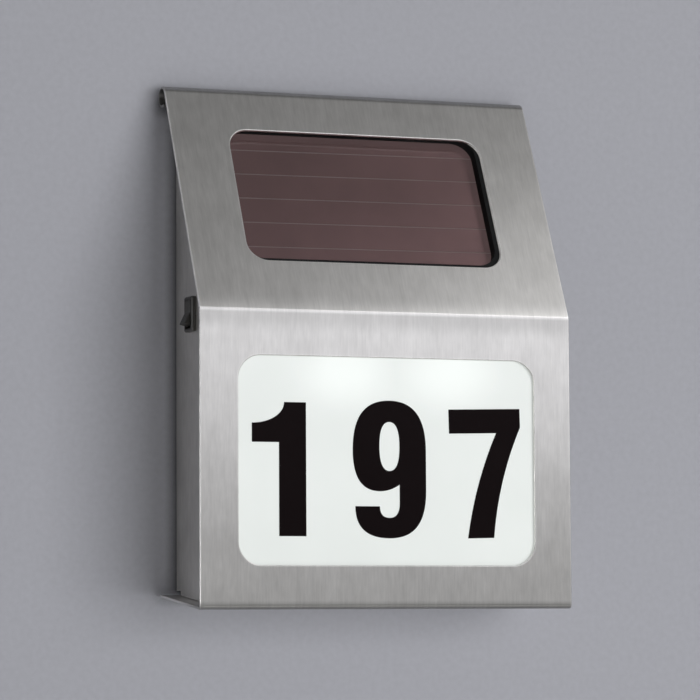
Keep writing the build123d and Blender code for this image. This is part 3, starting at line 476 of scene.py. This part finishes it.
# Battery: two rechargeable cells in green film sleeves, held by nickel leaf contacts in an open
# black holder. A nickel bridge joins them in series.
cell_film = dusted_plastic("cell_sleeve", (0.10, 0.16, 0.10), (0.14, 0.2, 0.14), 0.3, 700.0, 0.00001)
paint(cell_film, "battery_cells")
paint(black_plastic, "battery_holder")
paint(plain_metal("nickel_leaf", (0.66, 0.63, 0.57), 0.28), "battery_contacts", "battery_bridge")

# Screws and nuts: two zinc plated pan heads with a cross recess, driven up through the flange into
# nuts pressed into the tray's lip. Smaller ones hold the driver board.
HEAD_SIDES = 48
HEAD_RADIUS = 0.0028
HEAD_HEIGHT = 0.0020
HEAD_CROWN = 0.0014
CROWN_STEPS = 6
SHANK_RADIUS = 0.0015
SHANK_LENGTH = 0.0060
SHANK_POINT = 0.0004
POINT_TAPER = 0.7
RECESS_SPAN = 0.0030
RECESS_WIDTH = 0.0007
RECESS_DEPTH = 0.0011
RECESS_TURN = math.radians(20)
SCREW_SEAT = (0.046, -0.011, -0.1851115)
FLANGE_RISE = math.radians(6.2)
zinc = plain_metal("zinc_plate", (0.62, 0.62, 0.63), 0.34)
paint(zinc, "lip_nuts", "board_screws")

bpy.ops.object.select_all(action="DESELECT")
bpy.ops.mesh.primitive_cylinder_add(
    vertices=HEAD_SIDES, radius=HEAD_RADIUS, depth=HEAD_HEIGHT, location=(0.0, 0.0, -HEAD_HEIGHT / 2)
)
flange_screws = bpy.context.object
flange_screws.name = "flange_screws"
bpy.ops.object.transform_apply(location=True)
bpy.ops.object.mode_set(mode="EDIT")
bpy.ops.mesh.select_mode(type="FACE")
bpy.ops.mesh.select_all(action="DESELECT")
bpy.ops.object.mode_set(mode="OBJECT")
for face in flange_screws.data.polygons:
    face.select = face.normal.z > 0.9
bpy.ops.object.mode_set(mode="EDIT")
bpy.ops.mesh.inset(thickness=HEAD_RADIUS - SHANK_RADIUS)
bpy.ops.mesh.extrude_region_move(TRANSFORM_OT_translate={"value": (0.0, 0.0, SHANK_LENGTH - SHANK_POINT)})
bpy.ops.mesh.extrude_region_move(TRANSFORM_OT_translate={"value": (0.0, 0.0, SHANK_POINT)})
bpy.ops.transform.resize(value=(POINT_TAPER, POINT_TAPER, 1.0))
bpy.ops.mesh.select_all(action="DESELECT")
bpy.ops.object.mode_set(mode="OBJECT")
for edge in flange_screws.data.edges:
    edge.select = all(flange_screws.data.vertices[v].co.z < -0.99 * HEAD_HEIGHT for v in edge.vertices)
bpy.ops.object.mode_set(mode="EDIT")
bpy.ops.mesh.select_mode(type="EDGE")
bpy.ops.mesh.bevel(offset=HEAD_CROWN, segments=CROWN_STEPS, affect="EDGES")
bpy.ops.object.mode_set(mode="OBJECT")


def cut_away(piece, tool):
    """Takes the tool's shape out of a piece, and the tool away."""
    cut = piece.modifiers.new("cut", "BOOLEAN")
    cut.object = tool
    cut.operation = "DIFFERENCE"
    cut.solver = "EXACT"
    bpy.context.view_layer.objects.active = piece
    bpy.ops.object.modifier_apply(modifier="cut")
    bpy.data.objects.remove(tool)


# The cross recess is cut with two crossed blades
for blade_turn in (0.0, math.radians(90)):
    bpy.ops.mesh.primitive_cube_add(
        size=1.0, location=(0.0, 0.0, -HEAD_HEIGHT), rotation=(0.0, 0.0, blade_turn)
    )
    blade = bpy.context.object
    blade.scale = (RECESS_SPAN, RECESS_WIDTH, 2 * RECESS_DEPTH)
    bpy.ops.object.transform_apply()
    cut_away(flange_screws, blade)

# One screw is seated, then copied to the other side, and the pair is joined as one piece
bpy.ops.object.select_all(action="DESELECT")
flange_screws.select_set(True)
bpy.context.view_layer.objects.active = flange_screws
bpy.ops.object.shade_smooth_by_angle(angle=math.radians(30))
flange_screws.location = SCREW_SEAT
flange_screws.rotation_euler = (FLANGE_RISE, 0.0, RECESS_TURN)
bpy.ops.object.transform_apply()
flange_screws.data.materials.append(zinc)
bpy.ops.object.duplicate()
left_screw = bpy.context.object
left_screw.location.x = -2 * SCREW_SEAT[0]
bpy.ops.object.transform_apply()
flange_screws.select_set(True)
bpy.context.view_layer.objects.active = flange_screws
bpy.ops.object.join()
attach(flange_screws, "case")
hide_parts("cover_screws")

# Leads: stranded copper in soft PVC, red and black, stripped and soldered at both ends. They join
# panel, battery and switch to the driver board.
red_lead = dusted_plastic("red_lead", (0.45, 0.02, 0.018), (0.4, 0.05, 0.045), 0.38, 1500.0, 0.00001)
black_lead = dusted_plastic("black_lead", (0.012, 0.012, 0.012), (0.04, 0.04, 0.04), 0.38, 1500.0, 0.00001)
paint(red_lead, "solar_lead_red", "battery_lead_red")
paint(black_lead, "solar_lead_black", "battery_lead_black", "switch_lead")

# Studio wall: pale paint just behind the light, with painted shade where pieces meet it, up to the rolled
# edge.
# It lets shadow rays and what is behind it through, and rays that start on the tray's back.
WALL_PAINT = (0.49, 0.495, 0.54)
WALL_GAP = 0.0005
WALL_MIDDLE = 1.0
TOUCHING = 0.0009
CONTACT_REACH = 0.0055
CONTACT_SHADE = 0.80
ROLL_TOP = 0.034
ROLL_BOTTOM = 0.024
bpy.ops.object.select_all(action="DESELECT")
bpy.ops.mesh.primitive_plane_add(
    size=6.0, location=(0.0, WALL_GAP, WALL_MIDDLE), rotation=(math.radians(90), 0.0, 0.0)
)
wall = bpy.context.object
wall.name = "studio_wall"
paintwork, tree, shader = new_finish("wall_paint", {"Roughness": 0.9, "Specular IOR Level": 0.0})
place = object_coordinates(tree)
roller = noise_at(tree, place, 380.0, 3.0)
upright = add(tree, "ShaderNodeSeparateXYZ")
tree.links.new(place, upright.inputs[0])
below_roll = smooth_step(tree, upright.outputs["Y"], ROLL_TOP - WALL_MIDDLE, ROLL_BOTTOM - WALL_MIDDLE)
hollow = add(tree, "ShaderNodeAmbientOcclusion", {"Distance": CONTACT_REACH}, samples=6)
depth = combine(
    tree, "MULTIPLY", below_roll, spread(tree, hollow.outputs["AO"], 0.35, 1.0, CONTACT_SHADE, 0.0)
)
contact = combine(tree, "SUBTRACT", 1.0, depth)
wall_tone = combine(tree, "MULTIPLY", contact, varied(tree, roller, 0.97, 1.03))
tree.links.new(tinted(tree, WALL_PAINT, wall_tone), shader.inputs["Base Color"])
path = add(tree, "ShaderNodeLightPath")
side = add(tree, "ShaderNodeNewGeometry")
touching = combine(tree, "LESS_THAN", path.outputs["Ray Length"], TOUCHING)
open_to = combine(tree, "MAXIMUM", side.outputs["Backfacing"], path.outputs["Is Shadow Ray"])
clear = add(tree, "ShaderNodeBsdfTransparent")
mix_surfaces(tree, combine(tree, "MAXIMUM", open_to, touching), shader, clear)
wall.data.materials.append(paintwork)

# Studio floor: a pale painted floor, well below the light. The photograph's view doesn't show it,
# but the steel's lower bend and flange mirror it.
FLOOR_PAINT = (0.82, 0.82, 0.81)
bpy.ops.mesh.primitive_plane_add(size=8.0, location=(0.0, 0.0, -1.6))
floor = bpy.context.object
floor.name = "studio_floor"
floor_paint, tree, shader = new_finish("floor_paint", {"Roughness": 0.8})
speckle = noise_at(tree, object_coordinates(tree), 30.0, 3.0)
tree.links.new(tinted(tree, FLOOR_PAINT, varied(tree, speckle, 0.98, 1.02)), shader.inputs["Base Color"])
floor.data.materials.append(floor_paint)

# Studio light: the key lamp is what the upright panel and the fold mirror, the slope lamp what the
# slope mirrors on its right, and the left and edge lamps what the cut edges on the left mirror.
# Floor and wall lamps light the room. The sky is dimmer upwards and to the left.


def soft_lamp(name, place, aim, width, height, power, on_metal=True, on_matt=True):
    """A soft box at a place, facing a point, which can leave out mirrored or matt light."""
    bpy.ops.object.light_add(type="AREA", location=place)
    lamp = bpy.context.object
    lamp.name = name
    lamp.data.shape = "RECTANGLE"
    lamp.data.size = width
    lamp.data.size_y = height
    lamp.data.energy = power
    lamp.rotation_mode = "QUATERNION"
    lamp.rotation_quaternion = (Vector(aim) - Vector(place)).to_track_quat("-Z", "Y")
    lamp.visible_camera = False
    lamp.visible_glossy = on_metal
    lamp.visible_diffuse = on_matt
    return lamp


KEY_ROLL = math.radians(-5)
KEY_COLOUR = (0.94, 0.945, 1.0)
key = soft_lamp("key_lamp", (0.17, -0.52, 0.12), (0.0, -0.056, 0.0), 0.60, 0.44, 0.92, on_matt=False)
key.rotation_quaternion = key.rotation_quaternion @ Quaternion((0.0, 0.0, 1.0), KEY_ROLL)
key.data.color = KEY_COLOUR
soft_lamp("slope_lamp", (0.38, -0.38, 0.31), (0.06, -0.05, -0.03), 0.32, 0.26, 0.32, on_matt=False)
soft_lamp("left_lamp", (-0.964, -0.12, -0.23), (-0.084, -0.05, -0.08), 0.22, 0.5, 3.1, on_matt=False)
soft_lamp("edge_lamp", (-0.62, -0.32, 0.60), (-0.084, -0.04, -0.03), 0.3, 0.3, 0.5, on_matt=False)
soft_lamp("floor_lamp", (0.0, -2.4, -0.95), (0.0, -2.4, -1.6), 3.6, 2.0, 18.0)
soft_lamp("wall_lamp", (0.8, -2.2, -0.20), (0.0, 0.0, -0.08), 1.8, 1.4, 25.5, on_metal=False)

sky = bpy.data.worlds.new("studio_sky")
bpy.context.scene.world = sky
sky.use_nodes = True
tree = sky.node_tree
towards = add(tree, "ShaderNodeSeparateXYZ")
tree.links.new(add(tree, "ShaderNodeTexCoord").outputs["Generated"], towards.inputs[0])
upward = combine(
    tree,
    "SUBTRACT",
    spread(tree, towards.outputs["Z"], 0.0, 0.7, 0.46, 0.30),
    spread(tree, towards.outputs["Z"], 0.84, 0.97, 0.0, 0.27),
)
level = combine(tree, "MULTIPLY", upward, spread(tree, towards.outputs["X"], -0.5, 0.4, 0.3, 1.0))
tree.links.new(level, tree.nodes["Background"].inputs["Color"])

# Camera: at the photograph's viewing angle, from the left and slightly below, with the long lens
# that was fitted to the corners and folds.
bpy.ops.object.camera_add(
    location=(-0.5417, -1.4227, -0.1974),
    rotation=(math.radians(94.55), math.radians(0.30), math.radians(-20.966)),
)
camera = bpy.context.object
camera.data.lens = 179.33
camera.data.sensor_width = 36.0
bpy.context.scene.camera = camera
bpy.context.scene.view_settings.view_transform = "Standard"
